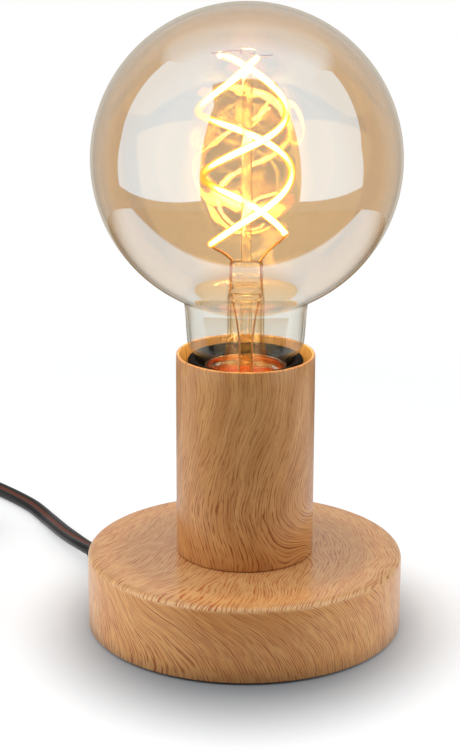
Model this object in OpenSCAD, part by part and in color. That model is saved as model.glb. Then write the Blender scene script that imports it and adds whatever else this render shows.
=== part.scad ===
// Bare bulb table lamp: a round weighted foot, an open tube that hides the lampholder,
// a large globe bulb with two twisted filament strands, and a flat mains lead with switch and plug.
// Millimetres, Z up, origin in the middle of the foot's underside.

/* [Foot] */
// diameter of the foot
base_d = 100; // [96:1:120]
// height of the foot
base_h = 25; // [25:1:32]
// thickness of the foot's pressed shell
base_wall = 1.2; // [1:0.1:1.6]
// rounding of the foot's top edge
base_edge = 2; // [1.5:0.1:3]
// height of the shell's rim above the table
rim_lift = 0.6; // [0.4:0.1:1]
// thickness of the foam pad under the foot
pad_t = 2; // [1.8:0.1:2.2]
// gap from the shell's inner wall to the foam pad
pad_gap = 4.8; // [4:0.1:12]
// thickness of the bottom plate
plate_t = 1.2; // [0.8:0.1:1.2]
// gap from the shell's inner wall to the bottom plate
plate_gap = 3.8; // [3.6:0.1:6]
// gap from the shell's inner wall to the iron weight
weight_gap = 4.8; // [4:0.1:8]
// thickness of the iron weight
weight_t = 12; // [11:0.5:14]
// diameter of the weight's hub
hub_d = 32; // [26:1:36]
// diameter of the pocket under the hub
pocket_d = 34; // [33:1:36]

/* [Tube] */
// outside diameter of the tube
tube_d = 43.4; // [42:0.2:50]
// height of the tube
tube_h = 65; // [65:1:75]
// wall of the tube
tube_wall = 1; // [0.8:0.1:1.5]
// thickness of the tube's floor
tube_floor = 1.5; // [1:0.1:2]

/* [Lampholder] */
// outside diameter of the lampholder
holder_d = 36; // [34.4:0.2:38]
// length of the lampholder's outer shell
shell_len = 44.5; // [44.5:0.5:46]
// how far the lampholder's lip sits below the tube's rim
lip_drop = 1.5; // [0.5:0.5:3]
// inside diameter of the lampholder's metal screw shell
screw_id = 26.8; // [26.8:0.1:27]
// outside diameter of the threaded nipple
nipple_d = 9.9; // [9.5:0.1:10]
// inside diameter of the threaded nipple
nipple_id = 7.6; // [7:0.1:8]
// width of the nut across its flats
nut_af = 14; // [13:0.5:15]

/* [Bulb] */
// diameter of the globe
bulb_d = 95; // [90:1:100]
// length of the bulb from foot contact to the top of the globe
bulb_len = 139; // [136:1:144]
// diameter of the neck where it meets the globe
neck_d = 38; // [34:0.5:40]
// wall of the glass
glass_t = 0.8; // [0.6:0.1:1]
// outside diameter of the bulb's screw cap
cap_d = 26.2; // [25.8:0.1:26.2]
// thickness of the filament strands
strand_d = 2.3; // [1.8:0.1:2.6]
// diameter of the glass rod between the strands
rod_d = 3.3; // [2.5:0.1:4]
// distance from bulb at rest to the lampholder's centre contact
foot_gap = 0.3; // [0.3:0.1:0.5]

/* [Lead] */
// width of the flat lead
cord_w = 5.4; // [5:0.1:5.4]
// thickness of the flat lead
cord_t = 3.2; // [2.8:0.1:3.2]
// height of the lead's outlet above the table
outlet_z = 5.8; // [5.4:0.1:6.2]
// direction of the lead's outlet, in degrees from +X
outlet_az = 139; // [137:1:141]
// radius of the coil's outer loop
coil_r = 43; // [43:0.5:45]
// step between the coil's loops
coil_pitch = 6; // [6:0.1:6.4]
// step between the coil's two layers
coil_layer = 3.7; // [3.7:0.1:4]

/* [Switch] */
// width of the in-line switch
sw_w = 25; // [24:0.5:28]
// length of the in-line switch
sw_l = 60; // [60:1:66]
// height of the in-line switch
sw_h = 15; // [15:0.5:16]
// angle the rocker rests at, half of its travel
rock_tilt = 8; // [6:0.5:9]

/* [Plug] */
// width of the plug's face
plug_w = 36; // [35:0.5:37]
// height of the plug's face
plug_t = 13.7; // [13:0.1:14]
// distance between the plug's pins
pin_gap = 19; // [18:0.1:19.2]
// diameter of the plug's pins
pin_d = 4; // [3.9:0.05:4]
// diameter of the insulating sleeve on each pin
sleeve_d = 3.4; // [3.3:0.05:3.5]

/* [Output] */
// part to draw

/* [Hidden] */
$fn = 96;

base_r = base_d / 2;
plate_z = pad_t;
weight_z = pad_t + plate_t + 0.8;
weight_r = base_r - base_wall - weight_gap;
screw_ring = weight_r - 10;
weight_top = weight_z + weight_t;
hub_top = base_h - base_wall;
bore_r = nipple_d / 2 + 0.3;
tube_r = tube_d / 2;
floor_z = base_h + tube_floor;
rim_z = base_h + tube_h;
lip_z = rim_z - lip_drop;
join_z = lip_z - shell_len;
cap_squash = (join_z - floor_z - 4) / 13.5;
block_top = lip_z - 31.5;
holder_r = holder_d / 2;
screw_r = screw_id / 2;
contact_z = block_top + 2.2;
foot_z = contact_z + foot_gap;
globe_r = bulb_d / 2;
globe_z = foot_z + bulb_len - globe_r;
cap_r = cap_d / 2;
cap_top = foot_z + 26.5;
neck_r = neck_d / 2;
pocket_top = weight_z + 8;
nut_z = pocket_top - 3.8;
cord_in_z = weight_z + 4;
shank_r = sleeve_d / 2 - 0.4;
ca = cos(outlet_az);
sa = sin(outlet_az);
fil_z = globe_z - 151;

// one point of the outlet's line: out along it, across it, up
function out_at(r, s, z) = [r * ca - s * sa, r * sa + s * ca, z];
function unit(v) = v / norm(v);
function cr(a, b, c, d, t) = 0.5 * ((2 * b) + (c - a) * t + (2 * a - 5 * b + 4 * c - d) * t * t
  + (3 * b - a - 3 * c + d) * t * t * t);
function near(p, i) = p[max(0, min(i, len(p) - 1))];
function spline(p, k) = concat([for (i = [0 : len(p) - 2]) for (j = [0 : k - 1])
  cr(near(p, i - 1), p[i], p[i + 1], near(p, i + 2), j / k)], [p[len(p) - 1]]);
function way(p, i) = unit(near(p, i + 1) - near(p, i - 1));
function ring_at(p, i, sect, up) = let (t = way(p, i), s = unit(cross(t, up)), w = cross(s, t))
  [for (q = sect) p[i] + q[0] * s + q[1] * w];
function round_sect(r, n) = [for (i = [0 : n - 1]) [r * cos(360 * i / n), r * sin(360 * i / n)]];
flat8 = [[cord_w / 2, -0.25 * cord_t], [cord_w / 2, 0.25 * cord_t], [0.36 * cord_w, cord_t / 2],
  [-0.36 * cord_w, cord_t / 2], [-cord_w / 2, 0.25 * cord_t], [-cord_w / 2, -0.25 * cord_t],
  [-0.36 * cord_w, -cord_t / 2], [0.36 * cord_w, -cord_t / 2]];
flat6 = [[cord_w / 2, 0], [0.3 * cord_w, cord_t / 2], [-0.3 * cord_w, cord_t / 2],
  [-cord_w / 2, 0], [-0.3 * cord_w, -cord_t / 2], [0.3 * cord_w, -cord_t / 2]];

module sweep(p, sect, up) {
  m = len(sect);
  n = len(p);
  pts = [for (i = [0 : n - 1]) each ring_at(p, i, sect, up)];
  side = [for (i = [0 : n - 2]) for (j = [0 : m - 1])
    each [[i * m + j, i * m + (j + 1) % m, (i + 1) * m + (j + 1) % m],
    [i * m + j, (i + 1) * m + (j + 1) % m, (i + 1) * m + j]]];
  first = [[for (j = [0 : m - 1]) m - 1 - j]];
  last = [[for (j = [0 : m - 1]) (n - 1) * m + j]];
  polyhedron(points = pts, faces = concat(first, side, last), convexity = 10);
}

// ---- where the lead lies, mid-height of the lead, in round numbers
lamp_path = [out_at(12.5, 0, cord_in_z), out_at(18, 0, cord_in_z), out_at(26, 0, cord_in_z),
  out_at(31, 0, cord_in_z - 0.3), out_at(38, 0, outlet_z + 0.4), out_at(44, 0, outlet_z),
  out_at(52, 0, outlet_z), out_at(60, 0, outlet_z), out_at(68, 0, outlet_z)];
floor_path = [[-56.6, 53, 5.4], [-61, 61.9, 4.5], [-65.4, 72.1, 3.4], [-70, 83.5, 2.3],
  [-74.3, 92.5, 1.7], [-78.7, 100, 1.6], [-87.2, 111, 1.6], [-97, 121.5, 1.6], [-110, 131.5, 1.6],
  [-124, 137.5, 1.6], [-138, 137.5, 1.6], [-150.5, 131, 1.6], [-159.3, 121.5, 2.7],
  [-164.2, 112, 5.3], [-165, 105, 6], [-165, 99, 6], [-165, 92.5, 6]];
sw_x = -165;
sw_y = 75;
coil_x = -139;
coil_y = -8;
plug_x = -114;
plug_y = 54;
plug_z = plug_t / 2;
cord_z = cord_t / 2;
run_path = [[-165, 57.5, 6], [-165, 50, 6], [-165, 44.4, 5.9], [-166.8, 33.5, 3.3], [-172.5, 21, 1.7],
  [-178.5, 9, cord_z], [coil_x - coil_r, -1, cord_z], [coil_x - coil_r, coil_y + cord_w, cord_z]];
tail_path = [[coil_x + coil_r, coil_y + cord_w, cord_z + coil_layer],
  [coil_x + coil_r - 0.4, 4, 5.4], [-101, 15, 5.9], [-109, 25, 6.5], [plug_x, 35, plug_z],
  [plug_x, 45, plug_z], [plug_x, plug_y, plug_z]];

// ---- coil: in on the lower layer, up over half a loop, out again on the upper layer
coil_in = 3;
coil_out = 3;
inner_r = coil_r - coil_pitch * (coil_in + 0.5);
function soft(t) = t * t * (3 - 2 * t);
function step_out(d) = d < 0.5 ? 1.5 * coil_pitch * soft(2 * d)
  : 1.5 * coil_pitch + coil_pitch * floor(d) - coil_pitch * (d < 1 ? 0 : 1)
  + coil_pitch * (d < 1 ? 0 : soft(min(1, 2 * (d - floor(d)))));
function coil_rad(t) = t <= coil_in + 0.5 ? coil_r - coil_pitch * t
  : inner_r + step_out(min(t - coil_in - 0.5, coil_out - 0.0001));
function coil_up(t) = cord_z + coil_layer * soft(max(0, min(1, 2 * (t - coil_in))));
function coil_at(t) = [coil_x + coil_rad(t) * cos(180 + 360 * t),
  coil_y + coil_rad(t) * sin(180 + 360 * t), coil_up(t)];
coil_n = 24 * (coil_in + coil_out) + 12;
coil_mid = [for (i = [0 : coil_n]) coil_at(i / 24)];
coil_path = concat([coil_mid[0] + [0, cord_w, 0]], coil_mid, [coil_mid[coil_n] + [0, cord_w, 0]]);
function apart(i, j) = let (a = coil_mid[i], b = coil_mid[j])
  max(norm([a[0] - b[0], a[1] - b[1]]) - cord_w, abs(a[2] - b[2]) - cord_t);
coil_gap = min([for (i = [0 : coil_n]) for (k = [1 : 6]) if (i + 24 * k <= coil_n)
  apart(i, i + 24 * k)]);
echo(str("least gap inside the coil, mm: ", coil_gap));

// ---- filament strands: angle, radius, height, hand-read from the twin helix
strand_a = [[-60, 6, 183], [-90, 8, 180.5], [-135, 12, 173.4], [-180, 14.7, 166], [-225, 14.6, 161],
  [-270, 14.2, 156.5], [-315, 13.9, 151.9], [-360, 13.7, 147], [-405, 13.6, 141.3],
  [-450, 13.6, 135.2], [-478, 13.8, 130.6], [-502, 14, 126.5]];
strand_b = [[-215, 10.5, 182], [-242, 10.8, 180.4], [-270, 11.2, 177.4], [-315, 11.6, 171.6],
  [-360, 11.9, 166.3], [-405, 12.8, 161.8], [-450, 13.5, 157.2], [-495, 13.5, 151.6],
  [-540, 13.4, 145.6], [-585, 13.5, 140.2], [-630, 13.7, 134.7], [-665, 14, 129.6], [-690, 14.2, 126]];
function turn(q) = [q[1] * cos(q[0]), q[1] * sin(q[0]), q[2] + fil_z];
path_a = [for (q = spline(strand_a, 5)) turn(q)];
path_b = [for (q = spline(strand_b, 5)) turn(q)];
end_a = path_a[len(path_a) - 1];
end_b = path_b[len(path_b) - 1];
press_top = 119 + fil_z;

module ring(r1, r2, z, h) {
  translate([0, 0, z]) difference() {
    cylinder(h = h, r = r2);
    translate([0, 0, -1]) cylinder(h = h + 2, r = r1);
  }
}

module slab(w, l, r, h) {
  linear_extrude(h) {
    square([w - 2 * r, l], center = true);
    square([w, l - 2 * r], center = true);
    for (x = [-1, 1]) for (y = [-1, 1]) translate([x * (w / 2 - r), y * (l / 2 - r)]) circle(r = r);
  }
}

// ================= foot =================
module base_shell() {
  color([0.66, 0.42, 0.23]) difference() {
    rotate_extrude() difference() {
      union() {
        translate([0, rim_lift]) square([base_r, base_h - base_edge - rim_lift]);
        translate([0, rim_lift]) square([base_r - base_edge, base_h - rim_lift]);
        translate([base_r - base_edge, base_h - base_edge]) circle(r = base_edge);
      }
      square([base_r - base_wall, base_h - base_edge]);
      square([base_r - base_edge, base_h - base_wall]);
      translate([base_r - base_edge, base_h - base_edge]) circle(r = base_edge - base_wall);
      square([bore_r, base_h + 1]);
    }
    outlet_hole(0);
  }
}

module outlet_hole(less) {
  rotate([0, 0, outlet_az]) translate([base_r - 5, 0, outlet_z]) rotate([0, 90, 0])
    linear_extrude(10) {
      square([5.6 - 2 * less, 5 - 2 * less], center = true);
      for (s = [-1, 1]) translate([0, s * 2.2]) circle(r = 2.8 - less);
    }
}

module ballast_disc() {
  color([0.28, 0.28, 0.29]) difference() {
    union() {
      translate([0, 0, weight_z]) cylinder(h = weight_t, r = weight_r);
      translate([0, 0, weight_z]) cylinder(h = hub_top - weight_z, r = hub_d / 2);
    }
    translate([0, 0, weight_z - 1]) cylinder(h = pocket_top - weight_z + 1, r = pocket_d / 2);
    cylinder(h = base_h, r = bore_r);
    rotate([0, 0, outlet_az]) translate([0, -3.5, weight_z - 1]) cube([60, 7, 6.7]);
    rotate([0, 0, outlet_az]) translate([18.2, -10.4, weight_z - 1]) cube([7.6, 20.8, 3.5]);
    clamp_at() translate([0, 0, weight_z]) cylinder(h = 7.5, r = 1.25);
    plate_at() translate([0, 0, weight_z - 1]) cylinder(h = 9, r = 1.5);
  }
}

module clamp_at() {
  for (s = [-1, 1]) rotate([0, 0, outlet_az]) translate([22, 7 * s, 0]) children();
}

module plate_at() {
  for (k = [1, 3, 5]) rotate([0, 0, outlet_az + 60 * k]) translate([screw_ring, 0, 0]) children();
}

module bottom_plate() {
  color([0.2, 0.2, 0.2]) difference() {
    union() {
      translate([0, 0, plate_z]) cylinder(h = plate_t, r = base_r - base_wall - plate_gap);
      plate_at() translate([0, 0, plate_z]) cylinder(h = weight_z - plate_z, r = 4);
    }
    plate_at() cylinder(h = 10, r = 1.6);
    plate_at() cylinder(h = plate_z + 1, r = 3.1);
  }
}

module foot_pad() {
  color([0.1, 0.1, 0.1]) difference() {
    cylinder(h = pad_t, r = base_r - base_wall - pad_gap);
    plate_at() translate([0, 0, -1]) cylinder(h = 5, r = 3.3);
  }
}

module plate_screws() {
  color([0.7, 0.7, 0.7]) plate_at() difference() {
    union() {
      translate([0, 0, plate_z - 1.1]) cylinder(h = 2.1, r = 2.8);
      translate([0, 0, plate_z]) cylinder(h = weight_z + 7 - plate_z, r = 1.5);
    }
    translate([-0.4, -2, 0]) cube([0.8, 4, plate_z - 0.5]);
    translate([-2, -0.4, 0]) cube([4, 0.8, plate_z - 0.5]);
  }
}

module cord_clamp() {
  color([0.75, 0.75, 0.75]) difference() {
    rotate([0, 0, outlet_az]) translate([18.5, -10, cord_in_z - cord_t / 2 - 1.2]) cube([7, 20, 1.2]);
    clamp_at() translate([0, 0, weight_z - 1]) cylinder(h = 9, r = 1.4);
  }
}

module clamp_screws() {
  color([0.8, 0.8, 0.8]) clamp_at() {
    translate([0, 0, cord_in_z - cord_t / 2 - 2.6]) cylinder(h = 1.4, r = 2.3);
    translate([0, 0, cord_in_z - cord_t / 2 - 1.4]) cylinder(h = 6, r = 1.25);
  }
}

module cord_grommet() {
  color([0.06, 0.06, 0.06]) difference() {
    union() {
      rotate([0, 0, outlet_az]) translate([base_r - base_wall - 2.4, 0, outlet_z]) rotate([0, 90, 0])
        linear_extrude(2) {
          square([7.4, 5], center = true);
          for (s = [-1, 1]) translate([0, s * 2.2]) circle(r = 3.7);
        }
      rotate([0, 0, outlet_az]) translate([base_r - 3, 0, outlet_z]) rotate([0, 90, 0])
        linear_extrude(3.4) {
          square([5.4, 4.4], center = true);
          for (s = [-1, 1]) translate([0, s * 2.2]) circle(r = 2.7);
        }
      rotate([0, 0, outlet_az]) translate([base_r + 0.3, 0, outlet_z]) rotate([0, 90, 0]) hull() {
        linear_extrude(1) for (s = [-1, 1]) translate([0, s * 1.9], $fn = 32) circle(r = 3.6, $fn = 32);
        translate([0, 0, 17]) linear_extrude(0.7) for (s = [-1, 1]) translate([0, s * 1.2])
          circle(r = 2.3, $fn = 32);
      }
    }
    rotate([0, 0, outlet_az]) translate([base_r - 10, 0, outlet_z]) rotate([0, 90, 0])
      linear_extrude(40) square([cord_t, cord_w], center = true);
  }
}

// ================= tube and lampholder =================
module housing_tube() {
  color([0.62, 0.44, 0.27]) rotate_extrude() difference() {
    union() {
      translate([0, base_h]) square([tube_r, tube_h - tube_wall / 2]);
      translate([tube_r - tube_wall / 2, rim_z - tube_wall / 2]) circle(r = tube_wall / 2, $fn = 32);
    }
    translate([0, floor_z]) square([tube_r - tube_wall, tube_h]);
    square([bore_r, rim_z]);
  }
}

module threaded_nipple() {
  color([0.8, 0.72, 0.45]) ring(nipple_id / 2, nipple_d / 2, nut_z - 1, join_z - 6 - nut_z + 1);
}

module nipple_nut() {
  color([0.75, 0.75, 0.72]) difference() {
    intersection() {
      translate([0, 0, nut_z]) cylinder(h = 3, r = nut_af / sqrt(3), $fn = 6);
      translate([0, 0, nut_z]) cylinder(h = 3, r = nut_af / 2 + 0.75);
    }
    translate([0, 0, nut_z - 1]) cylinder(h = 5, r = nipple_d / 2 + 0.05);
  }
}

module lock_washer() {
  color([0.7, 0.7, 0.7]) ring(nipple_d / 2 + 0.2, 9.5, pocket_top - 0.8, 0.8);
}

module lampholder_cap() {
  color([0.03, 0.03, 0.03]) rotate_extrude() difference() {
    union() {
      translate([0, floor_z]) square([9, join_z - floor_z]);
      intersection() {
        translate([9, join_z - 4]) scale([1, cap_squash]) circle(r = holder_r - 9);
        translate([0, join_z - 4 - holder_r]) square([holder_r + 1, holder_r]);
      }
      translate([0, join_z - 4]) square([holder_r, 4]);
      translate([0, join_z]) square([16.1, 3]);
    }
    translate([9, join_z - 4]) scale([1, cap_squash]) circle(r = 5.4);
    translate([0, join_z - 4 - 5.4 * cap_squash]) square([9, 20]);
    translate([0, join_z - 4]) square([14.4, 20]);
    square([nipple_d / 2 + 0.05, rim_z]);
  }
}

module lampholder_shell() {
  color([0.03, 0.03, 0.03]) rotate_extrude() difference() {
    union() {
      translate([0, join_z]) square([holder_r, shell_len - 0.8]);
      translate([0, join_z]) square([holder_r - 0.8, shell_len]);
      translate([holder_r - 0.8, lip_z - 0.8]) circle(r = 0.8, $fn = 32);
    }
    translate([0, join_z - 1]) square([16.2, block_top - join_z + 1]);
    square([screw_r + 0.6, rim_z]);
    polygon([[0, lip_z - 4.5], [screw_r + 0.6, lip_z - 4.5], [15.8, lip_z], [15.8, lip_z + 1],
      [0, lip_z + 1]]);
  }
}

module terminal_block() {
  color([0.9, 0.88, 0.82]) difference() {
    translate([0, 0, join_z + 3]) cylinder(h = block_top - join_z - 3, r = 15.9);
    for (s = [-1, 1]) translate([s * 8 - 3.6, -3.1, join_z + 2]) cube([7.2, 6.2, 8.3]);
    for (s = [-1, 1]) translate([s * 8, -17, join_z + 7]) rotate([-90, 0, 0]) cylinder(h = 15, r = 2.4);
    for (s = [-1, 1]) translate([s * 9.6 - 1, -1.6, join_z + 2]) cube([2, 3.2, 20]);
    translate([0, 0, join_z + 2]) cylinder(h = 7, r = 3);
  }
}

module terminals() {
  color([0.85, 0.7, 0.35]) difference() {
    for (s = [-1, 1]) union() {
      translate([s * 8 - 3.5, -3, join_z + 3.3]) cube([7, 6, 6.9]);
      translate([s * 9.6 - 0.8, -1.5, join_z + 8]) cube([1.6, 3, block_top - join_z - 8]);
    }
    for (s = [-1, 1]) translate([s * 8, 0, join_z + 2]) cylinder(h = 6.6, r = 1.2);
    for (s = [-1, 1]) translate([s * 8, -4, join_z + 7]) rotate([-90, 0, 0]) cylinder(h = 3, r = 1.3);
  }
}

module terminal_screws() {
  color([0.8, 0.8, 0.8]) for (s = [-1, 1]) translate([s * 8, -1.2, join_z + 7]) rotate([90, 0, 0])
    difference() {
      union() {
        cylinder(h = 3, r = 1.25);
        translate([0, 0, 1.9]) cylinder(h = 1.8, r = 2.1);
      }
      translate([-3, -0.35, 2.9]) cube([6, 0.7, 2]);
    }
}

module screw_shell() {
  color([0.85, 0.82, 0.7]) rotate_extrude() {
    translate([screw_r, block_top]) square([0.35, 27]);
    translate([8, block_top]) square([screw_r - 8 + 0.35, 0.4]);
  }
}

module centre_contact() {
  color([0.85, 0.7, 0.35]) translate([0, 2.5, block_top]) rotate([90, 0, 0]) linear_extrude(5)
    polygon([[-6.5, 0], [-4.2, 0], [-2, 1.8], [2, 1.8], [4.2, 0], [6.5, 0], [6.5, 0.4], [4.4, 0.4],
      [2.2, 2.2], [-2.2, 2.2], [-4.4, 0.4], [-6.5, 0.4]]);
}

function wire_path(s) = [out_at(12.5, -s * 1.35, cord_in_z), out_at(10.5, -s * 1.35, cord_in_z - 0.6),
  out_at(8, -s * 1.35, cord_in_z - 1.9), out_at(5.4, -s * 1.35, cord_in_z - 2.6),
  out_at(2.9, -s * 1.35, cord_in_z - 2.3), out_at(1.2, -s * 1.35, cord_in_z - 0.4),
  [s * 1.5, 0.3, 12], [s * 1.7, 0, 20], [s * 1.7, 0, join_z - 8], [s * 2.6, 0, join_z - 3.6],
  [s * 6.6, 0, join_z - 0.6], [s * 8, 0, join_z + 3], [s * 8, 0, join_z + 7.8]];

module wire_live() {
  color([0.45, 0.25, 0.12]) sweep(spline(wire_path(-1), 2), round_sect(0.95, 8), [0.3, 1, 0.12]);
}

module wire_neutral() {
  color([0.15, 0.3, 0.65]) sweep(spline(wire_path(1), 2), round_sect(0.95, 8), [0.3, 1, 0.12]);
}

// ================= lead, coil =================
function on_floor(p) = [for (q = p) [q[0], q[1], max(q[2], cord_t / 2)]];

module mains_lead() {
  color([0.03, 0.03, 0.03]) sweep(concat(lamp_path, on_floor(spline(floor_path, 2))), flat8, [0, 0, 1]);
}

module lead_run() {
  color([0.03, 0.03, 0.03]) sweep(on_floor(spline(run_path, 2)), flat8, [0, 0, 1]);
}

module lead_tail() {
  color([0.03, 0.03, 0.03]) sweep(spline(tail_path, 2), flat8, [0, 0, 1]);
}

module cord_coil() {
  color([0.03, 0.03, 0.03]) sweep(coil_path, flat6, [0, 0, 1]);
}

// ================= in-line switch =================
module sw_posts(z, h, r) {
  for (s = [-1, 1]) translate([s * 7.2, s * 22, z]) cylinder(h = h, r = r);
}

module sw_slots() {
  translate([-2.9, -sw_l, 6 - 1.8]) cube([5.8, 2 * sw_l, 3.6]);
}

module switch_lower() {
  color([0.04, 0.04, 0.04]) translate([sw_x, sw_y, 0]) difference() {
    union() {
      difference() {
        slab(sw_w, sw_l, 7, sw_h / 2);
        translate([0, 0, 2]) slab(sw_w - 3.6, sw_l - 3.6, 5.2, sw_h);
      }
      sw_posts(1, sw_h / 2 - 1, 2.8);
      for (s = [-1, 1]) translate([-4, s * 25 - 1.2, 1]) cube([8, 2.4, 3.4]);
    }
    difference() {
      sw_slots();
      translate([-4, -26.2, 0]) cube([8, 52.4, 4.4]);
    }
    translate([0, 0, -1]) sw_posts(0, sw_h, 1.25);
    translate([0, 0, -1]) sw_posts(0, 2.8, 2.6);
  }
}

module switch_upper() {
  color([0.04, 0.04, 0.04]) translate([sw_x, sw_y, 0]) difference() {
    union() {
      difference() {
        hull() {
          translate([0, 0, sw_h / 2]) slab(sw_w, sw_l, 7, sw_h / 2 - 2, $fn = 32);
          translate([0, 0, sw_h - 1]) slab(sw_w - 3, sw_l - 3, 5.5, 1, $fn = 32);
        }
        translate([0, 0, sw_h / 2 - 1]) slab(sw_w - 3.6, sw_l - 3.6, 5.2, sw_h / 2 - 0.6);
      }
      sw_posts(sw_h / 2, sw_h / 2 - 1, 2.8);
      for (s = [-1, 1]) translate([s * 5.9 - 0.8, -5, sw_h / 2]) cube([1.6, 10, sw_h / 2 - 1]);
    }
    translate([-5.1, -9.6, sw_h / 2]) cube([10.2, 19.2, sw_h]);
    translate([-8, 0, sw_h - 5.5]) rotate([0, 90, 0]) cylinder(h = 16, r = 1.25);
    sw_slots();
    sw_posts(sw_h / 2 - 1, 5.6, 1.25);
  }
}

module switch_screws() {
  color([0.75, 0.75, 0.75]) translate([sw_x, sw_y, 0]) for (s = [-1, 1])
    translate([s * 7.2, s * 22, 0]) difference() {
      union() {
        translate([0, 0, 0.5]) cylinder(h = 1.2, r = 2.3);
        translate([0, 0, 0.8]) cylinder(h = 10.6, r = 1.2);
      }
      translate([-0.35, -3, 0]) cube([0.7, 6, 1]);
    }
}

module switch_terminals() {
  color([0.85, 0.7, 0.35]) translate([sw_x, sw_y, 0]) for (s = [-1, 1])
    translate([0, s * 14.4, 2]) difference() {
      translate([-4, -3, 0]) cube([8, 6, 5]);
      translate([0, 0, 2.5]) cylinder(h = 4, r = 1.5);
    }
}

module switch_rocker() {
  color([0.05, 0.05, 0.05]) translate([sw_x, sw_y, sw_h - 5.5]) rotate([-rock_tilt, 0, 0]) {
    rotate([90, 0, 90]) translate([0, 0, -4.7]) linear_extrude(9.4) intersection() {
      circle(r = 10);
      polygon([[-10, -1.6], [10, -1.6], [10, 7.1], [7, 6.5], [0, 5.4], [-7, 6.5], [-10, 7.1]]);
    }
    translate([-6.4, 0, 0]) rotate([0, 90, 0]) cylinder(h = 12.8, r = 1.2);
  }
}

// ================= plug =================
module plug_outline(w, t, r) {
  square([w - 2 * r, t], center = true);
  square([w, t - 2 * r], center = true);
  for (x = [-1, 1]) for (y = [-1, 1]) translate([x * (w / 2 - r), y * (t / 2 - r)])
    circle(r = r, $fn = 32);
}

module plug_body() {
  color([0.04, 0.04, 0.04]) translate([plug_x, plug_y, plug_z]) difference() {
    rotate([-90, 0, 0]) union() {
      hull() {
        linear_extrude(2) plug_outline(15, 11, 4.5);
        translate([0, 0, 21]) linear_extrude(13) plug_outline(plug_w, plug_t, 5);
      }
      linear_extrude(35) plug_outline(plug_w - 3, plug_t - 3, 4.5);
    }
    translate([0, 0, 0]) rotate([-90, 0, 0]) difference() {
      translate([0, 0, -1]) linear_extrude(23) square([60, 30], center = true);
      hull() {
        translate([0, 0, -2]) linear_extrude(4) plug_outline(15, 11, 4.5);
        translate([0, 0, 21]) linear_extrude(13) plug_outline(plug_w, plug_t, 5);
      }
    }
    for (s = [-1, 1]) translate([s * pin_gap / 2, 25, 0]) rotate([-90, 0, 0]) cylinder(h = 12, r = shank_r + 0.05);
  }
}

module plug_relief() {
  color([0.04, 0.04, 0.04]) translate([plug_x, plug_y, plug_z]) difference() {
    rotate([90, 0, 0]) cylinder(h = 20, r1 = 5.2, r2 = 3.6);
    translate([0, -15, 0]) rotate([90, 0, 0]) linear_extrude(50, center = true)
      square([cord_w, cord_t], center = true);
  }
}

module plug_pins() {
  color([0.85, 0.8, 0.6]) for (s = [-1, 1]) translate([plug_x + s * pin_gap / 2, plug_y, plug_z])
    rotate([-90, 0, 0]) {
      translate([0, 0, 26]) cylinder(h = 19, r = shank_r);
      translate([0, 0, 44.6]) cylinder(h = 8.6, r = pin_d / 2);
      translate([0, 0, 53.2]) cylinder(h = 0.8, r1 = pin_d / 2, r2 = pin_d / 2 - 0.8);
    }
}

module pin_sleeves() {
  color([0.04, 0.04, 0.04]) for (s = [-1, 1]) translate([plug_x + s * pin_gap / 2, plug_y, plug_z])
    rotate([-90, 0, 0]) ring(shank_r + 0.05, sleeve_d / 2, 35, 9.6);
}

// ================= bulb =================
module foot_contact() {
  color([0.8, 0.8, 0.78]) translate([0, 0, foot_z]) rotate_extrude()
    polygon([[0, 0], [3.6, 0], [4.9, 0.7], [4.9, 1.4], [0, 1.4]]);
}

module cap_insulator() {
  color([0.05, 0.05, 0.06]) translate([0, 0, foot_z]) rotate_extrude()
    polygon([[0, 1.7], [5.4, 1.7], [5.8, 1.1], [11.1, 3], [10.7, 3.4], [10.2, 5.5], [0, 5.5]]);
}

module cap_shell() {
  color([0.8, 0.8, 0.8]) translate([0, 0, foot_z]) rotate_extrude()
    polygon([[11.1, 3], [cap_r, 5.5], [cap_r, 26.5], [cap_r - 0.4, 26.5], [cap_r - 0.4, 5.8],
      [10.7, 3.4]]);
}

function shoulder(t) = [[0, cap_top - 6], [12.6 - t, cap_top - 6], [12.6 - t, cap_top + 0.2 + t / 4],
  [13.3 - t * 0.9, cap_top + 1.5 + t / 3], [14.4 - t * 0.75, cap_top + 2.9 + t * 0.7],
  [15.8 - t * 0.7, cap_top + 4.3 + t * 0.75], [17.1 - t * 0.8, cap_top + 5.5 + t * 0.6],
  [17.9 - t, cap_top + 6.9 + t * 0.3], [neck_r - 0.8 - t, cap_top + 8.5]];

module globe_half(t) {
  rf = 4;
  zf = globe_z - sqrt(pow(globe_r + rf, 2) - pow(neck_r + rf, 2));
  k = globe_r / (globe_r + rf);
  translate([0, globe_z]) intersection() {
    circle(r = globe_r - t, $fn = 180);
    translate([0, -globe_r]) square([globe_r, 2 * globe_r]);
  }
  polygon(concat(shoulder(t), [[neck_r - t, zf], [neck_r - t - 2, zf + 12], [0, zf + 12]]));
  difference() {
    polygon([[neck_r - t - 2, zf], [neck_r + rf, zf], [(neck_r + rf) * k, globe_z + (zf - globe_z) * k],
      [neck_r - t - 2, globe_z + (zf - globe_z) * k + 2]]);
    translate([neck_r + rf, zf]) circle(r = rf + t, $fn = 64);
  }
}

module bulb_globe() {
  color([0.8, 0.62, 0.35, 0.4]) rotate_extrude($fn = 180) difference() {
    globe_half(0);
    globe_half(glass_t);
    translate([0, cap_top - 7]) square([12.6 - glass_t, 3]);
  }
}

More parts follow.
